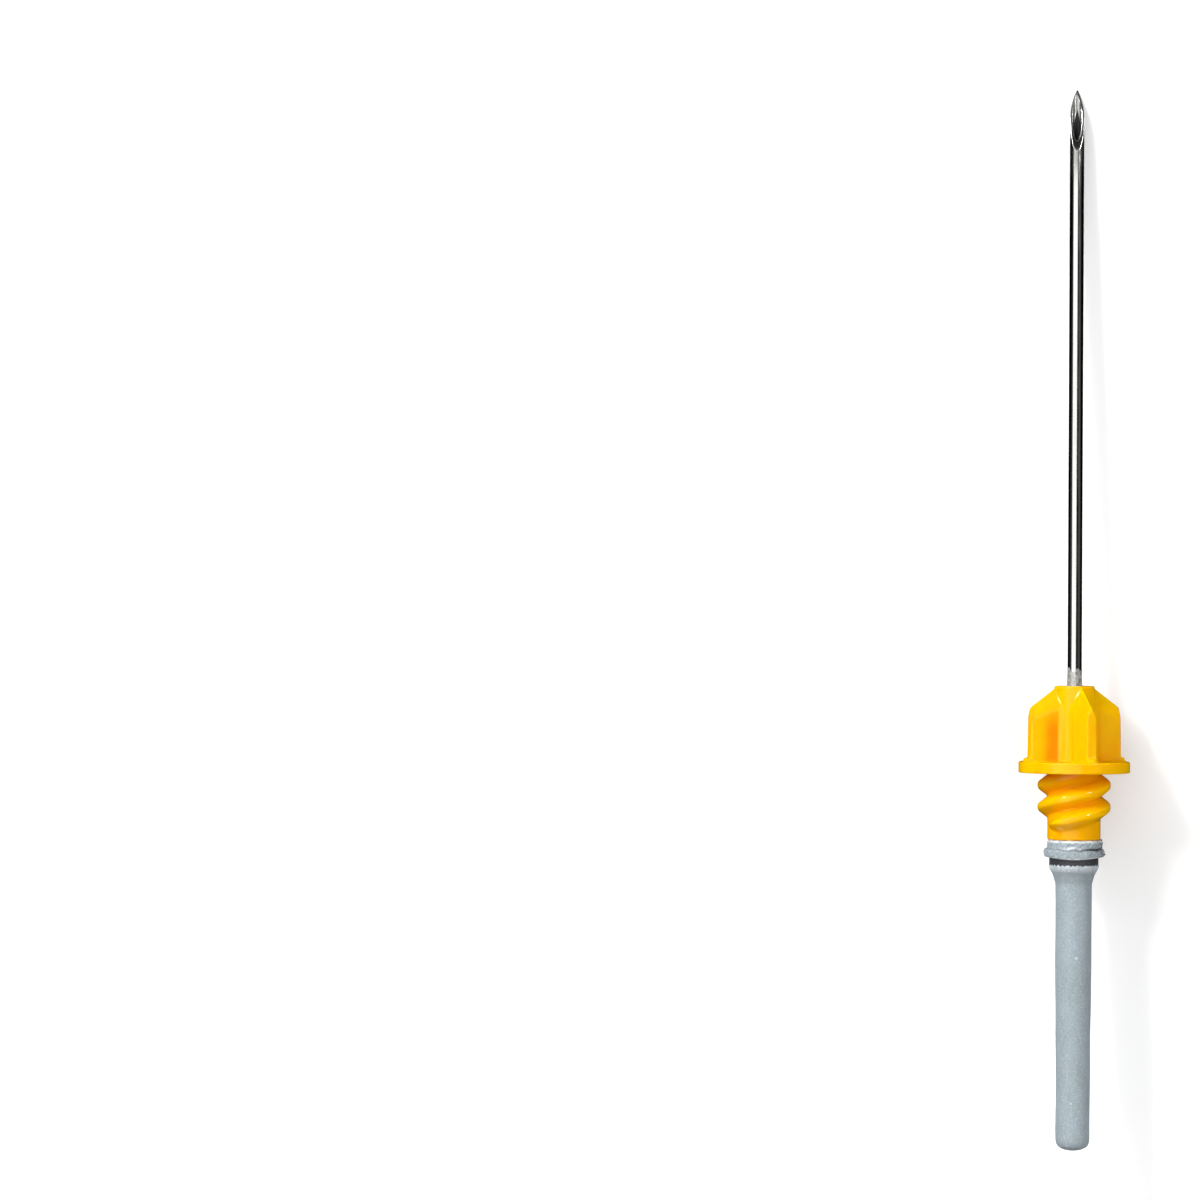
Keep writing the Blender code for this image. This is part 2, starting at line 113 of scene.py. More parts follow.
class HubSizes(PropertyGroup):
    """Sizes of the moulded hub, from its nose to its nipple."""

    flange_radius: size("Flange radius", "Outside radius of the flange", 3.55)
    flange_thickness: size("Flange thickness", "Thickness of the flange", 0.71)
    flange_edge: size("Flange edge", "Rounding of the flange's edges", 0.08)
    nose_radius: size("Nose radius", "Radius of the core at the nose", 1.28)
    core_radius: size("Core radius", "Radius of the core at the flange", 1.45)
    nose_height: size("Nose height", "Height of the nose over the flange", 4.83)
    nose_edge: size("Nose edge", "Rounding of the nose's rim", 0.11)
    well_radius: size("Well radius", "Radius of the adhesive well in the nose", 0.75)
    well_depth: size("Well depth", "Depth of the adhesive well", 1.80)
    bore: size("Bore radius", "Radius of the hole that holds the tube", 0.474)
    fin_radius: size("Fin radius", "Distance from the axis to a fin's end", 3.10)
    fin_root: size("Fin root", "Half the width of a fin at the core", 0.66)
    fin_tip: size("Fin end", "Half the width of a fin at its end", 0.33)
    fin_edge: size("Fin edge", "Rounding of a fin's edges", 0.10)
    ridge_drop: size("Ridge drop", "How far the fins' ridges start below the nose", 0.04)
    fillet: size("Fillet", "Hollow rounding where the fins and the flange meet the core", 0.14)
    foot_radius: size("Foot radius", "Radius of the low pad at a fin's end", 0.43)
    foot_height: size("Foot height", "Height of the low pad at a fin's end", 0.245)
    neck_radius: size("Neck radius", "Radius of the neck under the thread", 1.69)
    neck_length: size("Neck length", "Length of the neck below the flange", 4.27)
    neck_edge: size("Neck edge", "Rounding of the neck's lower edge", 0.11)
    plain_neck: size("Plain neck", "Length of the neck below the thread", 0.82)
    thread_radius: size("Thread radius", "Radius over the thread's crests", 2.31)
    thread_pitch: size("Thread pitch", "Distance from one crest to the next", 1.40)
    thread_top: size("First crest", "How far the first crest lies below the flange", 0.80)
    crest_half: size("Crest", "Half the width of the thread's crest", 0.20)
    root_half: size("Thread root", "Half the width of the thread at the neck", 0.635)
    nipple_radius: size("Nipple radius", "Radius of the nipple inside the sleeve", 1.12)
    nipple_length: size("Nipple length", "Length of the nipple inside the sleeve", 2.18)
    barb_radius: size("Barb radius", "Radius of the nipple's barb", 1.20)
    fin_turn: angle("Fin turn", "Turn of the fins about the axis", 21.3)
    ridge_slope: angle("Ridge slope", "How steeply a fin's ridge falls away", 36.0)
    gable_slope: angle("Gable slope", "How steeply a fin's top falls to each side", 61.6)
    draft: angle("Draft", "Draft of the fins' ends", 1.0)
    fade_turn: angle("Thread fade", "Turn over which the thread fades out", 65.0)


class SleeveSizes(PropertyGroup):
    """Sizes of the elastic sleeve that are not in its profile."""

    rough: size("Rim roughness", "How uneven the trimmed rim is", 0.018)
    torn: size("Torn edge", "How ragged the rim is at its torn side", 0.036)
    crack_depth: size("Crack depth", "Depth of the crack between the rim's two bands", 0.20)
    crack_width: size("Crack width", "Half the width of that crack", 0.035)
    slack: size("Slack", "Slow unevenness of the soft tube", 0.006)
    droop: size("Droop", "How far the rim's lower band sags towards the front", 0.13)
    flap: size("Flap", "How far the flap over the crack stands off", 0.035)
    trim: size("Trim", "How much closer the upper band is trimmed on the left", 0.11)
    lip_rough: size("Lip roughness", "How uneven the cut lip is", 0.014)
    wave: size("Wave", "How far the trimmed edge rises and falls", 0.016)
    shred: size("Shred", "Height of the shred on the torn side", 0.11)


class AdhesiveSizes(PropertyGroup):
    """Sizes of the cured adhesive round the tube."""

    gap: size("Gap", "Gap between the adhesive and what it holds", 0.01)
    film: size("Film", "Thickness of the film that crept up the tube", 0.022)
    film_height: size("Film height", "Height of the film over the nose", 1.04)
    meniscus: size("Meniscus", "Height of the hollow fillet round the tube", 0.10)


class Finishes(PropertyGroup):
    """Colours of the four materials."""

    steel: colour("Steel", "Polished stainless steel", "D6D5D2")
    hub: colour("Hub", "Yellow polypropylene", "FDC100")
    hub_deep: colour("Hub, deeper", "The same plastic where its pigment is denser", "FBB400")
    # Painted shade: the deeper orange that is painted into the hub's hollows
    hub_painted_shade: colour("Hub, hollows", "The same plastic seen through more of itself, in hollows", "F29400")
    sleeve: colour("Sleeve", "Blue-grey elastomer", "9CA9B0")
    sleeve_dull: colour("Sleeve, dull", "The same elastomer where it is dusty", "909CA2")
    # Painted shade: the near-black that is painted under the sleeve's rim, in its crack and notches and on its
    # shoulder
    sleeve_painted_shade: colour("Sleeve, dark", "The shadowed cut edges of the elastomer", "2C2B30")
    adhesive: colour("Adhesive", "Cured adhesive", "C6C7C5")


class StageSettings(PropertyGroup):
    """Camera and lamps."""

    distance: size("Camera distance", "From the needle's axis to the camera", 300.0)
    station: size("Camera station", "Height on the needle that the camera stands over", 10.89)
    pixels: number("Scale", "Pixels of the frame to a millimetre", 15.65)
    across: number("Offset", "Pixels from the frame's middle to the needle", 475.0)
    frame: IntProperty(name="Frame", description="Width of the frame in pixels", default=1200)
    lean: angle("Lean", "How far the needle leans in the frame", 0.27)
    floor: colour("Floor", "Pale floor", "F4F4F4")
    floor_lift: number("Floor's lift", "What keeps the floor white", 0.22)
    over_level: number("Over", "Radiance of the lamp over the needle", 0.85)
    stripe_level: number("Stripe", "Radiance of what the steel mirrors", 1.6)
    side_level: number("Side", "Radiance of the low lamp on the tip's left", 7.1)
    fill_level: number("Fill", "Radiance of the lamp on the right", 1.6)
    left_level: number("Left", "Radiance of the small lamp on the tip's left", 60.0)
    right_level: number("Right", "Radiance of the small lamp on the right", 39.0)
    glint_level: number("Glints", "Radiance of the two lamps for glints", 95.0)
    world_level: number("World", "Level of the light from all round", 0.37)


def laid_down(points):
    """Needle millimetres to frame metres: turned about X by a right angle and the tilt, then moved."""
    turn = np.array(Matrix.Rotation(NEEDLE_TURN[0], 3, "X"))
    return points @ turn.T * MM + np.array(FLANGE_CENTRE)


def turned(radius, turn, height):
    """Points at that radius, turn about the axis and height."""
    radius, turn, height = np.broadcast_arrays(radius, turn, height)
    return np.stack((radius * np.cos(turn), radius * np.sin(turn), height), axis=-1)


def even_turns(columns):
    """A row of evenly spaced turns, once round the needle."""
    return np.linspace(0, math.tau, columns, endpoint=False)[None, :]


def step(value, low, high):
    """0 below low and 1 above high, with the smooth cubic 3t^2 - 2t^3 between."""
    t = np.clip((value - low) / (high - low), 0.0, 1.0)
    return t * t * (3 - 2 * t)


def meet(a, b, radius):
    """Distance to what two solids share, with a round edge: an arc where both are nearer than its radius."""
    return np.minimum(-radius, np.maximum(a, b)) + np.hypot(np.maximum(radius + a, 0), np.maximum(radius + b, 0))


def join(a, b, radius):
    """Distance to two solids together, with a hollow fillet where they meet."""
    return np.maximum(radius, np.minimum(a, b)) - np.hypot(np.maximum(radius - a, 0), np.maximum(radius - b, 0))


def bell(turn, middle, width):
    """1 at that turn in degrees, falling to a third at the width to each side, as exp(-(angle / width)^2)."""
    return np.exp(-((np.angle(np.exp(1j * (turn - math.radians(middle)))) / math.radians(width)) ** 2))


def uneven(turn, height, most, tall, seed):
    """Smooth unevenness, mostly between -1 and 1: the sum of twelve cosine waves with at most so many turns
    round the needle and about that height, each with its own start, divided by the root of six."""
    chance = np.random.default_rng(seed)
    total = 0.0
    for waves in chance.integers(max(1, most // 3), most + 1, 12):
        rise = math.tau / (tall * chance.uniform(0.6, 1.7)) * chance.choice((-1, 1))
        total = total + np.cos(waves * turn + rise * height + chance.uniform(0, math.tau))
    return total / math.sqrt(6)


def rows_along(profile, blur, spacing):
    """Radii and heights of rows along a profile of (radius, height) corners. The profile is walked in fine
    steps, averaged over the blur with a bell-shaped weight, and sampled as far apart as spacing says at
    each height."""
    fine = 0.004
    corners = np.array(profile, dtype=float)
    lengths = np.concatenate(([0.0], np.cumsum(np.hypot(*np.diff(corners, axis=0).T))))
    walked = np.arange(0.0, lengths[-1] + fine, fine)
    weight = np.hanning(2 * int(blur / fine) + 3)
    pad = len(weight) // 2
    soft = [
        np.convolve(np.pad(np.interp(walked, lengths, column), pad, mode="edge"), weight / weight.sum(), "valid")
        for column in corners.T
    ]
    apart = np.interp(soft[1], *np.array(spacing, dtype=float).T)
    count = np.cumsum(fine / apart)
    picks = np.linspace(count[0], count[-1], int(count[-1]) + 1)
    return np.interp(picks, count, soft[0])[:, None], np.interp(picks, count, soft[1])[:, None]


def placed(name, data):
    """A new object in the scene."""
    made = bpy.data.objects.new(name, data)
    bpy.context.scene.collection.objects.link(made)
    return made


def piece(name, node, points, ring, material, marks=()):
    """A closed surface over a grid of points, each row once round the needle. In a ring the last row joins
    the first; otherwise both end rows lie on the axis and become poles. marks are named values of the points."""
    rows, columns = points.shape[:2]
    index = np.arange(rows * columns).reshape(rows, columns)
    near, far = (index, np.roll(index, -1, axis=0)) if ring else (index[:-1], index[1:])
    quads = np.stack((near, np.roll(near, -1, axis=1), np.roll(far, -1, axis=1), far), axis=-1).reshape(-1, 4)
    mesh = bpy.data.meshes.new(name)
    mesh.vertices.add(index.size)
    mesh.vertices.foreach_set("co", laid_down(points).ravel())
    mesh.loops.add(quads.size)
    mesh.loops.foreach_set("vertex_index", quads.ravel())
    mesh.polygons.add(len(quads))
    mesh.polygons.foreach_set("loop_start", np.arange(0, quads.size, 4))
    for mark, values in marks:
        layer = mesh.attributes.new(mark, "FLOAT", "POINT")
        layer.data.foreach_set("value", np.broadcast_to(values, (rows, columns)).astype(np.float32).ravel())
    mesh.update(calc_edges=True)
    shape = bmesh.new()
    shape.from_mesh(mesh)
    bmesh.ops.remove_doubles(shape, verts=shape.verts, dist=SAME_PLACE)
    bmesh.ops.recalc_face_normals(shape, faces=shape.faces)
    shape.to_mesh(mesh)
    shape.free()
    mesh.shade_smooth()
    mesh.materials.append(material)
    made = placed(name, mesh)
    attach(made, "root")
    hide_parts(node)
    return made


def add(tree, kind, inputs=None, **settings):
    """Adds a node: settings are its own values, and inputs gives a socket its value, or the socket that feeds
    it, or the node whose first output does."""
    node = tree.nodes.new("ShaderNode" + kind)
    for key, value in settings.items():
        setattr(node, key, value)
    for key, value in (inputs or {}).items():
        if isinstance(value, bpy.types.Node):
            value = value.outputs[0]
        if isinstance(value, bpy.types.NodeSocket):
            tree.links.new(value, node.inputs[key])
        else:
            node.inputs[key].default_value = value
    return node


def grained(place, across, along):
    """What a Mapping node takes so that a pattern stands upright on the needle, its grains that many
    millimetres wide across the axis and long along it."""
    scale = (across * MM, across * MM, along * MM)
    return {"Vector": place, "Location": FLANGE_CENTRE, "Rotation": NEEDLE_TURN, "Scale": scale}


def new_material(name):
    """An empty material and its node tree."""
    made = bpy.data.materials.new(name)
    made.use_nodes = True
    made.node_tree.nodes.clear()
    return made, made.node_tree


def in_millimetres(group):
    """The group's lengths in millimetres and its angles in radians, by name."""
    values = {}
    for key, prop in group.bl_rna.properties.items():
        if prop.type == "FLOAT" and not prop.is_array:
            values[key] = getattr(group, key) / MM if prop.unit == "LENGTH" else getattr(group, key)
    return type("Sizes", (), values)


def stainless_steel(colours):
    """Stainless steel tube, cold drawn, polished and ground: a mirror along the tube, broken into fine lines
    by the drawing, and finely ground at both points, where the grinding lines run across."""
    made, tree = new_material("drawn stainless steel")
    place = add(tree, "TexCoord").outputs["Object"]
    # Drawing lines are about 15 micrometres apart; they are drawn 60 micrometres apart so that they show
    drawn = add(tree, "Mapping", grained(place, 0.06, 6.0), vector_type="TEXTURE")
    lines = add(tree, "TexNoise", {"Vector": drawn, "Scale": 1.0, "Detail": 3.0, "Roughness": 0.6})
    # Grinding lines across the bevels, 40 micrometres apart
    ground = add(tree, "Mapping", grained(place, 1.5, 0.04), vector_type="TEXTURE")
    grit = add(tree, "TexNoise", {"Vector": ground, "Scale": 1.0, "Detail": 4.0, "Roughness": 0.65})
    # Handling leaves faint stains a few millimetres long
    stains = add(tree, "Mapping", grained(place, 0.9, 4.0), vector_type="TEXTURE")
    stain = add(tree, "TexNoise", {"Vector": stains, "Scale": 1.0, "Detail": 5.0, "Roughness": 0.7})
    face, bore, worn, burnt = (
        add(tree, "Attribute", attribute_name=mark).outputs["Fac"]
        for mark in ("ground", "bore", "worn", "burnt")
    )
    polish = add(tree, "MapRange", {"Value": lines, "To Min": 0.06, "To Max": 0.15})
    dull = add(tree, "MapRange", {"Value": stain, "From Min": 0.45, "From Max": 0.8, "To Max": 0.08})
    tube_rough = add(tree, "Math", {0: polish, 1: dull}, operation="ADD")
    face_rough = add(tree, "MapRange", {"Value": grit, "To Min": 0.10, "To Max": 0.22})
    rough = add(tree, "Mix", {0: face, 2: tube_rough, 3: face_rough}, data_type="FLOAT")
    relief = add(tree, "Mix", {0: face, 2: lines, 3: grit}, data_type="FLOAT")
    bump = add(tree, "Bump", {"Height": relief, "Strength": 0.12, "Distance": 0.004 * MM})
    dark = tuple(0.72 * v for v in colours.steel) + (1.0,)
    tint = add(tree, "MapRange", {"Value": stain, "From Min": 0.4, "From Max": 0.9})
    base = add(tree, "Mix", {0: tint, 6: (*colours.steel, 1.0), 7: dark}, data_type="RGBA").outputs[2]
    # Painted shade: the bore is painted nearly black and dull, but for its far wall just behind the tip
    base = add(tree, "Mix", {0: bore, 6: base, 7: (0.02, 0.02, 0.02, 1.0)}, data_type="RGBA").outputs[2]
    rough = add(tree, "Mix", {0: bore, 2: rough, 3: 0.6}, data_type="FLOAT")
    # Grinding and handling scuff the tube just behind the bevel
    scuff = add(tree, "MapRange", {"Value": stain, "From Min": 0.3, "From Max": 0.6})
    scuff = add(tree, "Math", {0: scuff, 1: worn}, operation="MULTIPLY")
    rough = add(tree, "Mix", {0: scuff, 2: rough, 3: 0.34}, data_type="FLOAT")
    # and both it and the heel of the bevel are made a darker grey
    grit_mottle = add(tree, "MapRange", {
        "Value": grit, "From Min": 0.35, "From Max": 0.65, "To Min": 0.5, "To Max": 0.95,
    })
    burnt = add(tree, "Math", {0: burnt, 1: grit_mottle}, operation="MULTIPLY")
    darkened = add(tree, "Math", {0: worn, 1: 0.62}, operation="MULTIPLY")
    darkened = add(tree, "Math", {0: darkened, 1: burnt}, operation="MAXIMUM")
    base = add(tree, "Mix", {0: darkened, 6: base, 7: (0.09, 0.09, 0.085, 1.0)}, data_type="RGBA").outputs[2]
    shader = add(tree, "BsdfPrincipled", {
        "Base Color": base, "Metallic": 1.0, "Roughness": rough, "Normal": bump,
    })
    add(tree, "OutputMaterial", {"Surface": shader})
    return made


def yellow_polypropylene(colours):
    """Polypropylene, injection moulded with a yellow masterbatch: glossy, a little waxy, and lit from inside, so
    that recesses turn orange, with painted shade that deepens the orange in the hollows; the pigment is slightly
    denser in places and the skin has an orange peel."""
    made, tree = new_material("moulded yellow polypropylene")
    place = add(tree, "TexCoord").outputs["Object"]
    # Pigment clouds are about two millimetres wide and longer along the flow
    flow = add(tree, "Mapping", grained(place, 1.6, 3.2), vector_type="TEXTURE")
    cloud = add(tree, "TexNoise", {"Vector": flow, "Scale": 1.0, "Detail": 4.0, "Roughness": 0.55})
    # Orange peel of the mould's skin, a quarter of a millimetre from hump to hump
    skin = add(tree, "Mapping", grained(place, 0.25, 0.25), vector_type="TEXTURE")
    peel = add(tree, "TexNoise", {"Vector": skin, "Scale": 1.0, "Detail": 2.0, "Roughness": 0.5})
    deep = add(tree, "MapRange", {"Value": cloud, "From Min": 0.42, "From Max": 0.72})
    base = add(tree, "Mix", {
        0: deep, 6: (*colours.hub, 1.0), 7: (*colours.hub_deep, 1.0),
    }, data_type="RGBA").outputs[2]
    # Painted shade: the hollows are painted a deeper orange, as the hollow mark says
    hollow = add(tree, "Attribute", attribute_name="hollow").outputs["Fac"]
    base = add(tree, "Mix", {0: hollow, 6: base, 7: (*colours.hub_painted_shade, 1.0)}, data_type="RGBA").outputs[2]
    rough = add(tree, "MapRange", {"Value": peel, "To Min": 0.09, "To Max": 0.18})
    bump = add(tree, "Bump", {"Height": peel, "Strength": 0.3, "Distance": 0.006 * MM})
    shader = add(tree, "BsdfPrincipled", {
        "Base Color": base, "Roughness": rough, "Normal": bump, "IOR": 1.49,
        "Specular IOR Level": 0.22, "Subsurface Weight": 0.5, "Subsurface Radius": (1.0, 0.30, 0.03),
        "Subsurface Scale": 0.5 * MM,
    })
    add(tree, "OutputMaterial", {"Surface": shader})
    return made


def grey_elastomer(colours):
    """Synthetic rubber, moulded and trimmed by hand: matt and slightly dusty, with fine glints where the cut
    edges are torn, partly painted, a painted highlight along its cut edges, and painted shade in the cuts and
    under the rim."""
    made, tree = new_material("moulded grey elastomer")
    place = add(tree, "TexCoord").outputs["Object"]
    # Dust and bloom lie in patches about a millimetre wide, drawn out along the tube
    bloom = add(tree, "Mapping", grained(place, 0.7, 1.6), vector_type="TEXTURE")
    patch = add(tree, "TexNoise", {"Vector": bloom, "Scale": 1.0, "Detail": 6.0, "Roughness": 0.65})
    # The skin copies a blasted mould, with a grain of about a tenth of a millimetre
    skin = add(tree, "Mapping", grained(place, 0.11, 0.11), vector_type="TEXTURE")
    grain = add(tree, "TexNoise", {"Vector": skin, "Scale": 1.0, "Detail": 3.0, "Roughness": 0.6})
    cut, torn, pale = (
        add(tree, "Attribute", attribute_name=mark).outputs["Fac"]
        for mark in ("cut", "torn", "pale")
    )
    dust = add(tree, "MapRange", {"Value": patch, "From Min": 0.38, "From Max": 0.7})
    base = add(tree, "Mix", {
        0: dust, 6: (*colours.sleeve, 1.0), 7: (*colours.sleeve_dull, 1.0),
    }, data_type="RGBA").outputs[2]
    # Torn elastomer whitens in specks, which also stand as painted glints
    speck = add(tree, "MapRange", {"Value": grain, "From Min": 0.56, "From Max": 0.66, "To Max": 0.8})
    whitening_and_highlight = add(tree, "Math", {0: speck, 1: torn}, operation="MULTIPLY")
    # and a painted highlight makes the cut lip, the flap and the lower band's edge paler
    edge_highlight = add(tree, "MapRange", {"Value": patch, "From Min": 0.28, "From Max": 0.52, "To Max": 0.9})
    edge_highlight = add(tree, "Math", {0: edge_highlight, 1: pale}, operation="MULTIPLY")
    whitening_and_highlight = add(tree, "Math", {0: whitening_and_highlight, 1: edge_highlight}, operation="MAXIMUM")
    base = add(tree, "Mix", {0: whitening_and_highlight, 6: base, 7: (0.86, 0.90, 0.93, 1.0)}, data_type="RGBA").outputs[2]
    # Specks of dust that also stand as painted glints, a tenth of a millimetre wide and a few millimetres apart
    dust_and_glint_cells = add(tree, "Mapping", grained(place, 1.1, 1.1), vector_type="TEXTURE")
    dust_and_glint_cells = add(tree, "TexVoronoi", {"Vector": dust_and_glint_cells, "Scale": 1.0}).outputs
    dust_and_glint = add(tree, "MapRange", {"Value": dust_and_glint_cells["Distance"], "From Min": 0.10, "From Max": 0.06})
    few = add(tree, "MapRange", {"Value": dust_and_glint_cells["Color"], "From Min": 0.5, "From Max": 0.55})
    dust_and_glint = add(tree, "Math", {0: dust_and_glint, 1: few}, operation="MULTIPLY")
    base = add(tree, "Mix", {0: dust_and_glint, 6: base, 7: (0.58, 0.64, 0.67, 1.0)}, data_type="RGBA").outputs[2]
    # The grain leaves the colour a little uneven too
    shade = add(tree, "MapRange", {
        "Value": grain, "From Min": 0.3, "From Max": 0.7, "To Min": 0.88, "To Max": 1.1,
    })
    base = add(tree, "VectorMath", {0: base, "Scale": shade}, operation="SCALE")
    # Painted shade: the cut mark paints the band under the rim, the shoulder, the crack and the notches
    # near-black
    base = add(tree, "Mix", {0: cut, 6: base, 7: (*colours.sleeve_painted_shade, 1.0)}, data_type="RGBA").outputs[2]
    rough = add(tree, "MapRange", {"Value": patch, "To Min": 0.48, "To Max": 0.68})
    gloss = add(tree, "Math", {0: whitening_and_highlight, 1: -0.3}, operation="MULTIPLY")
    rough = add(tree, "Math", {0: rough, 1: gloss}, operation="ADD")
    height = add(tree, "MapRange", {"Value": torn, "To Min": 0.35, "To Max": 2.2})
    height = add(tree, "Math", {0: height, 1: grain}, operation="MULTIPLY")
    bump = add(tree, "Bump", {"Height": height, "Strength": 0.5, "Distance": 0.02 * MM})
    shader = add(tree, "BsdfPrincipled", {
        "Base Color": base, "Roughness": rough, "Normal": bump, "IOR": 1.45, "Sheen Weight": 0.10,
        "Sheen Roughness": 0.5,
    })
    add(tree, "OutputMaterial", {"Surface": shader})
    return made


def cured_adhesive(colours):
    """Acrylic adhesive, cured with light: clear and grey, cloudy with tiny bubbles where it wets the steel."""
    made, tree = new_material("light-cured acrylic adhesive")
    place = add(tree, "TexCoord").outputs["Object"]
    # Bubbles and wrinkles are about a sixth of a millimetre wide
    creep = add(tree, "Mapping", grained(place, 0.16, 0.30), vector_type="TEXTURE")
    cloud = add(tree, "TexNoise", {"Vector": creep, "Scale": 1.0, "Detail": 4.0, "Roughness": 0.6})
    alpha = add(tree, "MapRange", {
        "Value": cloud, "From Min": 0.40, "From Max": 0.62, "To Min": 0.10, "To Max": 0.55,
    })
    bump = add(tree, "Bump", {"Height": cloud, "Strength": 0.3, "Distance": 0.02 * MM})
    shader = add(tree, "BsdfPrincipled", {
        "Base Color": (*colours.adhesive, 1.0), "Roughness": 0.22, "Normal": bump, "IOR": 1.49, "Alpha": alpha,
    })
    add(tree, "OutputMaterial", {"Surface": shader})
    return made


def ground_height(x, y, radius, length, sizes):
    """Height under the tip of the lowest of three ground planes: the bevel through the heel of the point, and
    one side cut to each side through the tip."""
    bevel = math.atan(2 * radius / (length + sizes.shortening))
    planes = (
        (0.0, bevel, -radius, -length),
        (-sizes.lancet_turn, bevel + sizes.lancet_extra, radius, 0.0),
        (sizes.lancet_turn, bevel + sizes.lancet_extra, radius, 0.0),
    )
    return np.minimum.reduce([
        start - (math.sin(turn) * x - math.cos(turn) * (y - side)) / math.tan(slope)
        for turn, slope, side, start in planes
    ])


class NEEDLE_OT_cannula(Operator):
    """Build the steel tube with its two ground points"""

    bl_idname = "needle.add_cannula"
    bl_label = "Steel tube"

    def execute(self, context):
        sizes = in_millimetres(context.scene.needle_cannula)
        turn = even_turns(144)

        def cut(radius, front):
            """Height of the ground face, whose edges polishing has rounded."""
            x, y = radius * np.cos(turn), radius * np.sin(turn)
            lost = sizes.edge * ((2 * radius - sizes.bore - sizes.radius) / (sizes.radius - sizes.bore)) ** 4
            if front:
                return sizes.front_tip - lost + ground_height(x, y, sizes.radius, sizes.front_point, sizes)
            return sizes.rear_tip + lost - ground_height(-x, y, sizes.radius, sizes.rear_point, sizes)

        heel = sizes.front_tip - sizes.front_point
        behind = 0.6
        sharp = math.radians(40.0)

        def wall(radius):
            """From the front cut straight down to the rear cut, with rows close together at both points and
            just behind them."""
            top, bottom = cut(radius, True), cut(radius, False)
            high = heel - behind
            low = sizes.rear_tip + sizes.rear_point + behind
            heights = [
                top + (high - top) * np.linspace(0, 1, 28)[:, None],
                (high + (low - high) * np.linspace(0, 1, 60)[1:-1, None]) * np.ones_like(turn),
                low + (bottom - low) * np.linspace(0, 1, 14)[:, None],
            ]
            return turned(radius, turn, np.concatenate(heights))

        def ring(front):
            """The ground face from the inside of the wall to its outside."""
            radii = sizes.bore + (sizes.radius - sizes.bore) * np.linspace(0, 1, 11)[1:-1, None]
            return turned(radii, turn, cut(radii, front))

        outside, inside = wall(sizes.radius), wall(sizes.bore)
        front_ring, rear_ring = ring(True), ring(False)
        points = np.concatenate((outside, rear_ring[::-1], inside[::-1], front_ring))
        face = np.zeros(points.shape[:2])
        face[len(outside):len(outside) + len(rear_ring)] = 1.0
        face[-len(front_ring):] = 1.0
        # Painted shade: the bore is painted dark but for its far wall just behind the tip, where light still
        # reaches it. The dark begins nearest the tip in the middle, and further back to both sides
        bore = np.zeros(points.shape[:2])
        across, _, height = np.moveaxis(inside[::-1], -1, 0)
        unlit = step(sizes.front_tip - height - 4.2 * np.abs(across), 1.12, 1.36)
        bore[len(outside) + len(rear_ring):-len(front_ring)] = unlit
        # The tube is scuffed just behind the heel, and the ground face is darker near it
        height = points[..., 2]
        worn = step(height, heel - 2.2, heel - 0.7) * (1 - face) * (1 - bore)
        burnt = step(-height, -heel - 1.5, -heel - 0.7) * face
        steel = stainless_steel(context.scene.needle_finishes)
        made = piece("steel_tube", "cannula", points, True, steel, [
            ("ground", face), ("bore", bore), ("worn", worn), ("burnt", burnt),
        ])
        made.data.set_sharp_from_angle(angle=sharp)
        return {"FINISHED"}


class NEEDLE_OT_hub(Operator):
    """Build the moulded hub with its fins, flange, thread and nipple"""

    bl_idname = "needle.add_hub"
    bl_label = "Hub"

    def execute(self, context):
        s = in_millimetres(context.scene.needle_hub)
        turn = hub_turns(s)
        nose_top = s.flange_thickness + s.nose_height
        well_floor, mouth = nose_top - s.well_depth, 0.06
        well = [
            (s.bore, well_floor), (s.well_radius, well_floor), (s.well_radius, nose_top - s.well_depth / 2),
            (s.well_radius, nose_top - mouth), (s.well_radius + mouth / 3, nose_top - mouth / 3),
            (s.well_radius + mouth, nose_top), (s.well_radius + 0.2, nose_top),
            (s.nose_radius - s.nose_edge - 0.05, nose_top),
        ]
        points = np.concatenate((
            plain_rows(turn, well), body_rows(turn, s), rim_rows(turn, s), thread_rows(turn, s),
            plain_rows(turn, nipple_profile(s)),
        ))
        plastic = yellow_polypropylene(context.scene.needle_finishes)
        # The hollow mark is painted shade: how far each point is painted a deeper orange
        piece("hub_moulding", "hub", points, True, plastic, [("hollow", painted_shade_at(points, s))])
        return {"FINISHED"}


def plain_rows(turn, profile):
    """Plain round rows along a profile of (radius, height) corners."""
    radius, height = np.array(profile).T[:, :, None]
    return turned(radius, turn, height)


def hub_turns(s):
    """Turns of the hub's columns, closer together where the fins have their edges and roots: the running sum
    of a density with bell-shaped peaks, read backwards, and repeated for each quarter."""
    fine = np.linspace(-QUARTER / 2, QUARTER / 2, 2001)
    off = np.degrees(np.abs(fine))
    density = 1 + 1.6 * np.exp(-((off - 6) / 2.6) ** 2) + 0.8 * np.exp(-((off - 27) / 5) ** 2)
    total = np.cumsum(density)
    total = (total - total[0]) / (total[-1] - total[0])
    quarter = np.interp((np.arange(88) + 0.5) / 88, total, fine)
    return np.concatenate([quarter + s.fin_turn + k * QUARTER for k in range(4)])[None, :]


def off_fin(turn, s):
    """Turn away from the middle of the nearest fin."""
    return (turn - s.fin_turn + QUARTER / 2) % QUARTER - QUARTER / 2


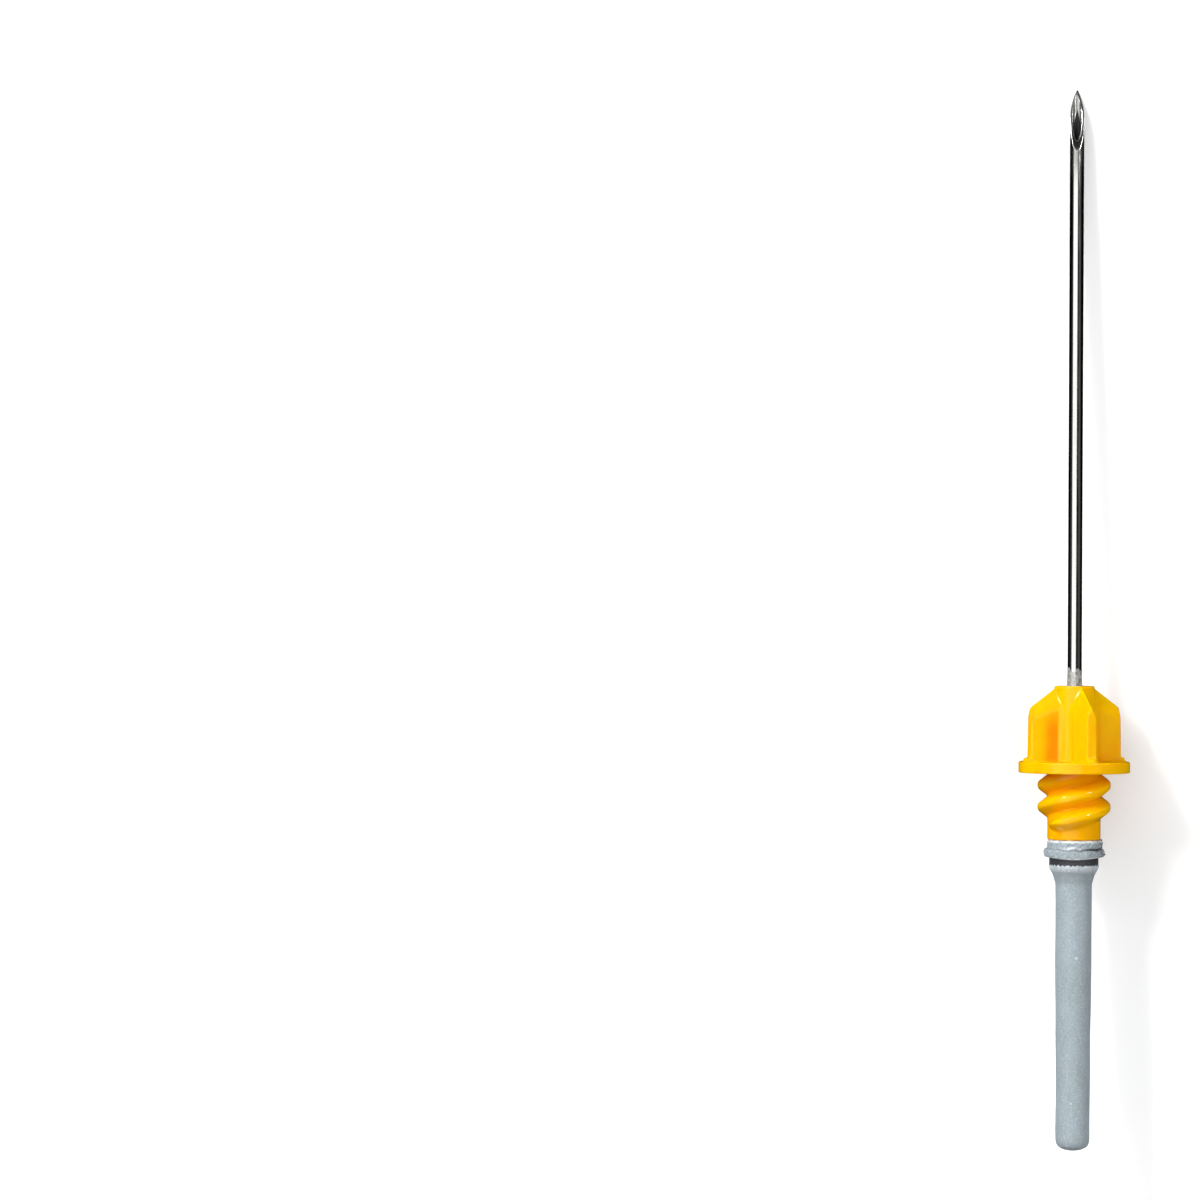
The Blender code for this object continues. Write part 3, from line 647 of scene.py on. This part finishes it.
def body_distance(radius, turn, height, s, fillet):
    """Distance to the nose, core and nearest fin. The core is a cone with a rounded rim. A fin is what its two
    leaning sides, its end and its gabled top share, with round edges; the fillet joins it to the core."""
    nose_top = s.flange_thickness + s.nose_height
    core = s.nose_radius + (s.core_radius - s.nose_radius) * (nose_top - height) / s.nose_height
    core = meet(radius - core, height - nose_top, s.nose_edge)
    off, ridge_edge = off_fin(turn, s), 0.035
    out, across = radius * np.cos(off), np.hypot(radius * np.sin(off), ridge_edge)
    widening = (s.fin_root - s.fin_tip) / (s.fin_radius - s.core_radius)
    side = (across - s.fin_tip - widening * (s.fin_radius - out)) / math.hypot(1, widening)
    fall, gable = math.tan(s.ridge_slope), math.tan(s.gable_slope)
    ridge = nose_top - s.ridge_drop - fall * np.maximum(out - s.nose_radius, 0)
    top = (height - ridge + gable * across) / math.hypot(1, gable, fall)
    end = out - s.fin_radius + math.tan(s.draft) * (height - s.flange_thickness)
    fin = meet(meet(side, top, 1.4 * s.fin_edge), end, s.fin_edge)
    return join(core, fin, fillet)


def painted_shade_at(points, s):
    """How much painted shade each point gets, from 0 to 1, by how deep in a hollow it lies. Beside the fins it
    is how far a wide fillet between core and fin would bury the point, on the fin's side of the corner. On one
    side of every fin it reaches further and fades upwards, to match the deep orange recess in the photograph.
    Under the flange it grows towards the flange and the thread's root."""
    x, y, height = np.moveaxis(points, -1, 0)
    radius, turn = np.hypot(x, y), np.arctan2(y, x)
    near, far = (-body_distance(radius, turn, height, s, fillet) for fillet in (1.0, 1.6))
    one_sided_shade = step(far, 0.02, 0.34) * (1 - step(height, 2.6, 4.5))
    beside = np.where(off_fin(turn, s) > 0, one_sided_shade, 0.7 * step(near, 0.16, 0.40))
    beside = beside * step(height, s.flange_thickness - 0.1, s.flange_thickness)
    beside = beside * step(radius, s.core_radius + 0.02, s.core_radius + 0.14)
    root = step(height, -s.neck_length + s.plain_neck, -1.6)
    root = step(-radius, -s.thread_radius, -s.neck_radius) * (0.55 + 0.45 * root)
    below = step(height, -0.9, 0.0) * step(-radius, -s.thread_radius - 0.3, -s.thread_radius)
    under = np.maximum(0.7 * root, below) * step(-height, 0.0, 0.02)
    return np.clip(np.maximum(beside, under), 0, 1)


def outline(turn, height, offset, s):
    """Radius at which the body's distance reaches the offset, halved in on from both sides."""
    low = np.full(np.broadcast(turn, height).shape, 0.5)
    high = np.full(low.shape, s.fin_radius + 0.6)
    for _ in range(36):
        middle = (low + high) / 2
        inside = body_distance(middle, turn, height, s, s.fillet) < offset
        low, high = np.where(inside, middle, low), np.where(inside, high, middle)
    return low


def flange_top(radius, turn, s):
    """Height of the flange's upper face, with a low round pad at each fin's end."""
    off = off_fin(turn, s)
    away = np.hypot(radius * np.cos(off) - s.fin_radius + 0.02, radius * np.sin(off))
    return s.flange_thickness + s.foot_height * step(-away, -s.foot_radius, 0.13 - s.foot_radius)


def body_rows(turn, s):
    """The nose and fins from the rim down, the fillet at their foot as a quarter circle, and the flange's
    upper face out to its edge."""
    nose_top = s.flange_thickness + s.nose_height
    foot_line = outline(turn, s.flange_thickness + 0.4, 0.0, s)
    foot = flange_top(foot_line, turn, s) + s.fillet
    arc = nose_top - s.nose_edge * (1 - np.cos(np.linspace(0.05, QUARTER, 7)))[:, None]
    down = np.linspace(0, 1, 104)[1:, None]
    heights = np.concatenate((arc * np.ones_like(turn), arc[-1] + (foot - arc[-1]) * down))
    rows = [turned(outline(turn, heights, 0.0, s), turn, heights)]
    for bend in np.linspace(0, QUARTER, 7)[1:]:
        radius = outline(turn, foot, s.fillet * (1 - math.cos(bend)), s)
        rows.append(turned(radius, turn, flange_top(radius, turn, s) + s.fillet * (1 - math.sin(bend)))[None])
    edge = s.flange_radius - s.flange_edge
    reach = radius + (edge - radius) * np.linspace(0, 1, 18)[1:-1, None]
    rows.append(turned(reach, turn, flange_top(reach, turn, s)))
    return np.concatenate([row.reshape(-1, turn.size, 3) for row in rows])


def rim_rows(turn, s):
    """The flange's edge: a quarter circle, the flat side and another quarter circle."""
    bend = np.linspace(0, QUARTER, 6)[:, None]
    edge = s.flange_radius - s.flange_edge
    radius = edge + s.flange_edge * np.sin(bend)
    upper = s.flange_thickness - s.flange_edge * (1 - np.cos(bend))
    lower = s.flange_edge * (1 - np.cos(bend))
    side = np.linspace(upper[-1], lower[-1], 5)[1:-1]
    return np.concatenate((
        turned(radius, turn, upper), turned(s.flange_radius, turn, side),
        turned(radius[::-1], turn, lower[::-1]),
    ))


def thread_radius(turn, height, s):
    """Radius of the neck with its two-start right-hand thread. The crests climb one lead a turn; away from a
    crest the flank falls in a straight line to the neck. Towards its end the thread sinks into the neck and
    narrows."""
    lead = 2 * s.thread_pitch
    rise = height + s.thread_top - lead * turn / math.tau + s.thread_pitch / 2
    off = rise % s.thread_pitch - s.thread_pitch / 2
    crest = height - off
    last = s.plain_neck - s.neck_length
    left = np.clip((crest - last) / (lead * s.fade_turn / math.tau), 0, 1)
    fade = np.sin(left * QUARTER) ** 0.8
    flank = (s.thread_radius - s.neck_radius) / (s.root_half - s.crest_half)
    tooth = s.thread_radius - flank * (np.abs(off) / (0.4 + 0.6 * fade) - s.crest_half)
    buried = s.neck_radius - 0.25
    sunk = buried + (tooth - buried) * fade
    # A soft maximum rounds the root and a soft minimum the crest
    root = 0.5 * (sunk + s.neck_radius + np.hypot(sunk - s.neck_radius, 0.08))
    top = s.thread_radius + 0.02
    return 0.5 * (root + top - np.hypot(root - top, 0.09))


def thread_rows(turn, s):
    """The flange's underside, the threaded neck down to its lower edge, and in to the nipple."""
    start = thread_radius(turn, -0.05, s)
    inward = np.linspace(0, 1, 12)[1:, None]
    edge = s.flange_radius - s.flange_edge
    under = edge + (start + 0.04 - edge) * inward
    heights = np.linspace(-0.05, s.neck_edge - s.neck_length, 88)[:, None]
    bend = np.linspace(0, QUARTER, 6)[1:, None]
    low = s.neck_radius - s.neck_edge * (1 - np.cos(bend)), s.neck_edge * (1 - np.sin(bend)) - s.neck_length
    return np.concatenate((
        turned(under, turn, np.zeros_like(inward)), turned(thread_radius(turn, heights, s), turn, heights),
        turned(low[0], turn, low[1]),
    ))


def nipple_profile(s):
    """Corners from the neck's lower face down the nipple, over its barb and up into the bore."""
    end = -s.neck_length - s.nipple_length
    return [
        (1.4, -s.neck_length), (s.nipple_radius, -s.neck_length), (s.nipple_radius, -s.neck_length - 0.7),
        (s.nipple_radius, end + 0.85), (s.barb_radius, end + 0.75), (0.95, end), (s.bore, end), (s.bore, -2.0),
    ]


class NEEDLE_OT_adhesive(Operator):
    """Build the cured adhesive in the nose and the film it leaves on the tube"""

    bl_idname = "needle.add_adhesive"
    bl_label = "Adhesive"

    def execute(self, context):
        s = in_millimetres(context.scene.needle_adhesive)
        tube = in_millimetres(context.scene.needle_cannula).radius
        hub = in_millimetres(context.scene.needle_hub)
        turn = even_turns(120)
        nose_top = hub.flange_thickness + hub.nose_height
        inner, outer = tube + 0.6 * s.gap, hub.well_radius - s.gap
        low = nose_top - hub.well_depth + s.gap
        top = nose_top + s.film_height * (1 + 0.07 * uneven(turn, 0.0, 5, 1.0, 4))
        film_foot = nose_top + s.meniscus
        up = np.linspace(0, 1, 20)[:, None]
        heights = top + (film_foot - top) * up
        # The film is thickest at its foot and creeps up in lobes, and nowhere is it thinner than the least
        least = 0.002
        lobes = uneven(turn, heights, 6, 0.5, 9)
        thick = s.film * (0.35 + 0.45 * up + 0.2 * lobes) * step(top - heights, 0, 0.05)
        film = turned(inner + least + np.maximum(thick, 0), turn, heights)
        # The meniscus is a quarter of an ellipse from the film to the well's wall, sunk under the nose's rim
        bend = np.linspace(0, QUARTER, 9)[1:, None]
        start = inner + least + np.maximum(thick[-1:], 0)
        sunk = 0.05
        height = nose_top - sunk + (s.meniscus + sunk) * (1 - np.sin(bend))
        hollow = turned(outer - (outer - start) * np.cos(bend), turn, height)
        walls = np.concatenate((
            turned(outer, turn, np.full((1, 1), low)), turned(inner, turn, np.full((1, 1), low)),
            turned(inner, turn, top - 0.02),
        ))
        adhesive = cured_adhesive(context.scene.needle_finishes)
        piece("adhesive_bead", "adhesive", np.concatenate((film, hollow, walls)), True, adhesive)
        return {"FINISHED"}


# Radius and height of the sleeve's outside, read off the photograph: the rim's two bands, the cut under them,
# the shoulder over the barb, the tube and its dome
SLEEVE_OUTSIDE = (
    (1.14, -4.285), (1.66, -4.285), (1.76, -4.32), (1.79, -4.45), (1.78, -4.76), (1.86, -4.84), (1.895, -4.95),
    (1.895, -5.20), (1.84, -5.33), (1.72, -5.37), (1.57, -5.39), (1.565, -5.88), (1.585, -5.92), (1.585, -5.99),
    (1.545, -6.11), (1.471, -6.27), (1.387, -6.40), (1.334, -6.52), (1.290, -6.65), (1.256, -6.78),
    (1.220, -6.91), (1.180, -7.04), (1.163, -7.20), (1.155, -8.00), (1.155, -12.0), (1.125, -15.0),
    (1.093, -17.8), (1.082, -19.7), (1.082, -23.40), (1.05, -23.62), (0.97, -23.81), (0.83, -23.94),
    (0.58, -24.06), (0.30, -24.12), (0.0, -24.135),
)
SLEEVE_INSIDE = (
    (0.0, -22.885), (0.37, -22.885), (0.63, -22.78), (0.74, -22.52), (0.74, -6.68), (0.965, -6.465),
    (1.215, -5.70), (1.135, -5.60), (1.135, -4.285),
)
# How far apart the sleeve's rows are, as (height, spacing)
ROWS_OUTSIDE = ((-24.2, 0.05), (-23.2, 0.05), (-22.8, 0.25), (-7.8, 0.25), (-7.2, 0.03), (-4, 0.03))
ROWS_INSIDE = ((-23, 0.12), (-22.4, 0.12), (-22, 0.8), (-7, 0.8), (-6.6, 0.2), (-4, 0.2))
# Height of the crack between the rim's two bands
CRACK_HEIGHT = -4.83


class NEEDLE_OT_sleeve(Operator):
    """Build the closed elastic sleeve with its trimmed rim"""

    bl_idname = "needle.add_sleeve"
    bl_label = "Elastic sleeve"

    def execute(self, context):
        s = in_millimetres(context.scene.needle_sleeve)
        turn = even_turns(176)
        inner_radius, inner_height = rows_along(SLEEVE_INSIDE, 0.05, ROWS_INSIDE)
        radius, height = rows_along(SLEEVE_OUTSIDE, 0.035, ROWS_OUTSIDE)
        inner_radius[0] = radius[-1] = 0.0
        # The torn side is on the right of the photograph, a little towards the viewer
        ragged = bell(turn, -14, 26)
        wide = step(radius, 1.5, 1.7)
        rim = step(height, -5.42, -5.34) * wide
        fine = uneven(turn, height, 60, 0.35, 1)
        shift = rim * (s.rough * fine + s.rough * uneven(turn, height, 22, 0.9, 2))
        shift += rim * ragged * s.torn * uneven(turn, height, 56, 0.26, 3)
        # The crack between the bands wanders up and down and opens towards the torn side
        opening = 0.30 + 0.70 * bell(turn, -30, 38)
        line = CRACK_HEIGHT + 0.02 * uneven(turn, 0.0, 16, 1.0, 5)
        crack = np.exp(-((height - line) / (s.crack_width * (0.6 + opening))) ** 2) * wide
        shift -= s.crack_depth * opening * crack
        # Over the crack a flap stands off in front, and the upper band is trimmed closer on the left
        flap = bell(turn, -93, 20) * np.exp(-((height - line - 0.11) / 0.06) ** 2) * wide
        upper = step(height, CRACK_HEIGHT - 0.03, CRACK_HEIGHT + 0.03) * wide
        shift += s.flap * flap - s.trim * upper * bell(turn, 180, 40)
        # The lip is the cut edge under the dark band, and the tube below it is soft and a little out of true
        lip = step(height, -6.48, -6.02) * step(-height, 5.86, 5.90)
        shift += lip * s.lip_rough * uneven(turn, height, 70, 0.15, 6)
        tube = step(-height, 7.0, 8.0) * step(radius, 0.6, 1.0)
        shift += tube * s.slack * uneven(turn, height, 3, 5.0, 7)
        # Rows rise and fall with the trimmed edge and the sagging band, and a shred stands up on the torn side
        lift = rim * s.wave * uneven(turn, 0.0, 26, 1.0, 8) * step(height, -4.5, -4.3)
        lift -= s.droop * bell(turn, -90, 55) * step(-height, 4.55, 5.0) * step(height, -5.75, -5.42)
        lift += s.shred * step(height, -4.36, -4.30) * step(radius, 1.6, 1.74) * bell(turn, -6, 5)
        # What is painted in shade, torn or painted pale, from 0 to 1: cut is painted shade under the rim, on the
        # hollow shoulder, in the crack and in the torn side's notches
        under = step(-height, 5.37, 5.42) * step(height + 0.03 * uneven(turn, 0.0, 44, 1.0, 11), -5.93, -5.85)
        under *= 0.92 + 0.08 * uneven(turn, height, 30, 0.3, 12)
        shoulder = step(-height, 6.2, 6.5) * step(height, -7.4, -6.7)
        notch_shade = rim * ragged * step(fine, 0.25, 0.9)
        cut = np.clip(1.15 * under + 0.12 * shoulder + 1.2 * opening * crack + 0.9 * notch_shade, 0, 1)
        torn = np.clip(lip + 0.5 * rim * (0.3 + ragged) + 1.2 * flap + 0.12, 0, 1)
        # Painted highlight: pale paints the lip's top, the lower band's bottom edge, the flap and the cut lip
        # lighter
        lip_highlight = step(height, -4.45, -4.38) * step(radius, 1.35, 1.5)
        bottom = step(-height, 5.24, 5.30) * step(height, -5.40, -5.37)
        pale = np.clip(1.4 * lip_highlight + bottom * bell(turn, -80, 50) + 0.9 * flap + 0.55 * lip, 0, 1)
        outer = turned(radius + shift, turn, height + lift)
        inside = turned(inner_radius, turn, inner_height)
        blank = np.zeros((len(inside), turn.size))
        marks = [
            (name, np.concatenate((blank, values * np.ones_like(turn))))
            for name, values in (("cut", cut), ("torn", torn), ("pale", pale))
        ]
        rubber = grey_elastomer(context.scene.needle_finishes)
        piece("elastic_sleeve", "sleeve", np.concatenate((inside, outer)), False, rubber, marks)
        return {"FINISHED"}


def lamp(name, width, length, place, level, glint=False):
    """An area lamp of that radiance, aimed at the hub with its length along the needle: its power is the
    radiance times pi times its area. It is either soft light that leaves no glint, or a glint alone."""
    data = bpy.data.lights.new(name, "AREA")
    data.shape = "RECTANGLE"
    data.size, data.size_y = width, length
    data.energy = level * math.pi * width * length
    made = placed(name, data)
    back = (Vector(place) - Vector(FLANGE_CENTRE)).normalized()
    across = Vector((0.0, 1.0, 0.0)).cross(back).normalized()
    made.visible_glossy, made.visible_diffuse = glint, not glint
    axes = Matrix((across, back.cross(across), back)).transposed()
    made.matrix_world = Matrix.Translation(place) @ axes.to_4x4()


class NEEDLE_OT_stage(Operator):
    """Build the floor, the lamps, the world and the camera"""

    bl_idname = "needle.add_stage"
    bl_label = "Stage"

    def execute(self, context):
        settings = context.scene.needle_stage
        self.camera(context, settings)
        self.floor(context, settings)
        self.dark_room(context, settings)
        lamp("over", 0.24, 0.26, (-0.10, 0.0, 0.28), settings.over_level)
        lamp("side", 0.26, 0.24, (-0.29, 0.26, 0.20), settings.side_level)
        lamp("fill", 0.30, 0.30, (0.38, -0.04, 0.28), settings.fill_level)
        for side, level, glint_level, place in (
            ("left", settings.left_level, settings.glint_level, (-0.24, 0.23, 0.29)),
            ("right", settings.right_level, 0.8 * settings.glint_level, (0.27, 0.17, 0.27)),
        ):
            lamp(side, 0.05, 0.05, place, level)
            lamp(side + "_glint", 0.10, 0.05, place, glint_level, glint=True)
        self.world(context, settings)
        context.scene.view_settings.view_transform = "Standard"
        return {"FINISHED"}

    def camera(self, context, settings):
        """Over the needle and square to it, then swung to the left so that the needle stands right of centre."""
        data = bpy.data.cameras.new("camera")
        data.sensor_width = 36.0
        # The camera's distance in pixels of the frame; the swing's tangent is the offset over its share
        reach = settings.pixels * settings.distance / MM
        swing = math.atan(settings.across / reach)
        swing = math.atan(settings.across / (reach * math.cos(swing)))
        data.lens = data.sensor_width * reach * math.cos(swing) / settings.frame
        data.clip_start, data.clip_end = 0.01, 10.0
        made = placed("camera", data)
        aside = Vector((1.0, 0.0, 0.0))
        right = aside * math.cos(swing) - OVER_NEEDLE * math.sin(swing)
        back = OVER_NEEDLE * math.cos(swing) + aside * math.sin(swing)
        axes = Matrix((right, ALONG_NEEDLE, back)).transposed() @ Matrix.Rotation(settings.lean, 3, "Z")
        place = Vector(FLANGE_CENTRE) + ALONG_NEEDLE * settings.station + OVER_NEEDLE * settings.distance
        made.matrix_world = Matrix.Translation(place) @ axes.to_4x4()
        context.scene.camera = made

    def floor(self, context, settings):
        """A wide painted board, a hair below what the needle rests on."""
        wide, below = 2.0, 0.02 * MM
        shape = bmesh.new()
        bmesh.ops.create_grid(shape, size=wide, matrix=Matrix.Translation((0.0, 0.0, -below)))
        # The board is painted white for the camera and grey for the light that it throws back on the needle
        material, tree = new_material("painted board")
        seen = add(tree, "LightPath").outputs["Is Camera Ray"]
        grey, pale = (0.42, 0.42, 0.42, 1.0), (*settings.floor, 1.0)
        paint = add(tree, "Mix", {0: seen, 6: grey, 7: pale}, data_type="RGBA").outputs[2]
        board = add(tree, "BsdfDiffuse", {"Color": paint})
        lift = add(tree, "Math", {0: seen, 1: settings.floor_lift}, operation="MULTIPLY")
        glow = add(tree, "Emission", {"Strength": lift})
        board = add(tree, "AddShader", {0: board, 1: glow})
        add(tree, "OutputMaterial", {"Surface": board})
        self.staged("floor", shape, material)

    def dark_room(self, context, settings):
        """A dark box that only reflections see, so that polished steel has dark sides and a bright stripe, as
        between a photographer's black cards. Beyond the tip it has a white card, which lights the bevel."""
        half, above = 0.6, 0.03 * MM
        shape = bmesh.new()
        bmesh.ops.create_cube(shape, size=2 * half, matrix=Matrix.Translation((0.0, 0.0, half + above)))
        bmesh.ops.reverse_faces(shape, faces=shape.faces)
        material, tree = new_material("black and white card")
        place = add(tree, "SeparateXYZ", {0: add(tree, "TexCoord").outputs["Object"]}).outputs
        # Round the needle: a dim left, the white sheet overhead, black, and a dim right
        around = add(tree, "Math", {0: place["X"], 1: place["Z"]}, operation="ARCTAN2")
        around = add(tree, "MapRange", {0: around, 1: -QUARTER, 2: QUARTER})
        sheet = add(tree, "ValToRGB", {0: around})
        stops = (
            (0, 0), (0.02, 0.03), (0.20, 0.03), (0.23, 1), (0.575, 1), (0.60, 0), (0.76, 0), (0.79, 0.05),
            (0.98, 0.05),
        )
        for spot, shade in stops:
            stop = sheet.color_ramp.elements.new(spot) if spot else sheet.color_ramp.elements[0]
            stop.color = (shade, shade, shade, 1.0)
        sheet.color_ramp.elements[-1].color = (0.0, 0.0, 0.0, 1.0)
        # The sheet ends short of the tip's side, where a white card stands low down
        along = add(tree, "Math", {0: place["Y"], 1: place["Z"]}, operation="DIVIDE")
        end = add(tree, "MapRange", {0: along, 1: 0.40, 2: 0.62, 3: 1.0, 4: 0.0})
        sheet = add(tree, "Math", {0: sheet, 1: end}, operation="MULTIPLY")
        white = add(tree, "MapRange", {0: place["X"], 1: -half, 2: half, 3: 0.19, 4: 0.08})
        white = add(tree, "MapRange", {0: place["Y"], 1: 0.25, 2: 0.50, 3: 0.0, 4: white})
        white = add(tree, "MapRange", {0: place["Z"], 1: 0.80, 2: 0.40, 3: 0.0, 4: white})
        level = add(tree, "Math", {0: sheet, 1: white}, operation="ADD")
        level = add(tree, "Math", {0: level, 1: settings.stripe_level}, operation="MULTIPLY")
        glow = add(tree, "Emission", {"Strength": level})
        add(tree, "OutputMaterial", {"Surface": glow})
        made = self.staged("black_cards", shape, material)
        for kind in ("camera", "diffuse", "shadow", "transmission", "volume_scatter"):
            setattr(made, "visible_" + kind, False)

    def staged(self, name, shape, material):
        """A part of the stage from its shape, which isn't part of the needle."""
        mesh = bpy.data.meshes.new(name)
        shape.to_mesh(mesh)
        shape.free()
        mesh.materials.append(material)
        made = placed(name, mesh)
        return made

    def world(self, context, settings):
        """Even pale light, and plain white where the camera, metal or clear plastic looks straight at it."""
        world = bpy.data.worlds.new("studio")
        world.use_nodes = True
        tree = world.node_tree
        tree.nodes.clear()
        path = add(tree, "LightPath").outputs
        seen = add(tree, "Math", {0: path["Is Camera Ray"], 1: path["Is Glossy Ray"]}, operation="MAXIMUM")
        seen = add(tree, "Math", {0: seen, 1: path["Is Transmission Ray"]}, operation="MAXIMUM")
        level = add(tree, "MapRange", {"Value": seen, "To Min": settings.world_level, "To Max": 1.0})
        light = add(tree, "Background", {"Color": (1.0, 1.0, 1.0, 1.0), "Strength": level})
        add(tree, "OutputWorld", {"Surface": light})
        context.scene.world = world


class NEEDLE_PT_parts(Panel):
    """The needle's pieces in the sidebar"""

    bl_label = "Blood collection needle"
    bl_space_type = "VIEW_3D"
    bl_region_type = "UI"
    bl_category = "Needle"

    def draw(self, context):
        for step_class in STEPS:
            self.layout.operator(step_class.bl_idname)
        for name in GROUPS:
            box = self.layout.box()
            group = getattr(context.scene, name)
            for key in group.__annotations__:
                box.prop(group, key)


GROUPS = {
    "needle_cannula": CannulaSizes,
    "needle_hub": HubSizes,
    "needle_sleeve": SleeveSizes,
    "needle_adhesive": AdhesiveSizes,
    "needle_finishes": Finishes,
    "needle_stage": StageSettings,
}
STEPS = (NEEDLE_OT_cannula, NEEDLE_OT_hub, NEEDLE_OT_adhesive, NEEDLE_OT_sleeve, NEEDLE_OT_stage)


def register():
    for made in (*GROUPS.values(), *STEPS, NEEDLE_PT_parts):
        bpy.utils.register_class(made)
    for name, group in GROUPS.items():
        setattr(bpy.types.Scene, name, PointerProperty(type=group))


def unregister():
    for name in GROUPS:
        delattr(bpy.types.Scene, name)
    for made in (NEEDLE_PT_parts, *reversed(STEPS), *reversed(GROUPS.values())):
        bpy.utils.unregister_class(made)


def main():
    register()
    bpy.ops.needle.add_cannula()
    bpy.ops.needle.add_hub()
    bpy.ops.needle.add_adhesive()
    bpy.ops.needle.add_sleeve()
    bpy.ops.needle.add_stage()


if __name__ == "__main__":
    main()
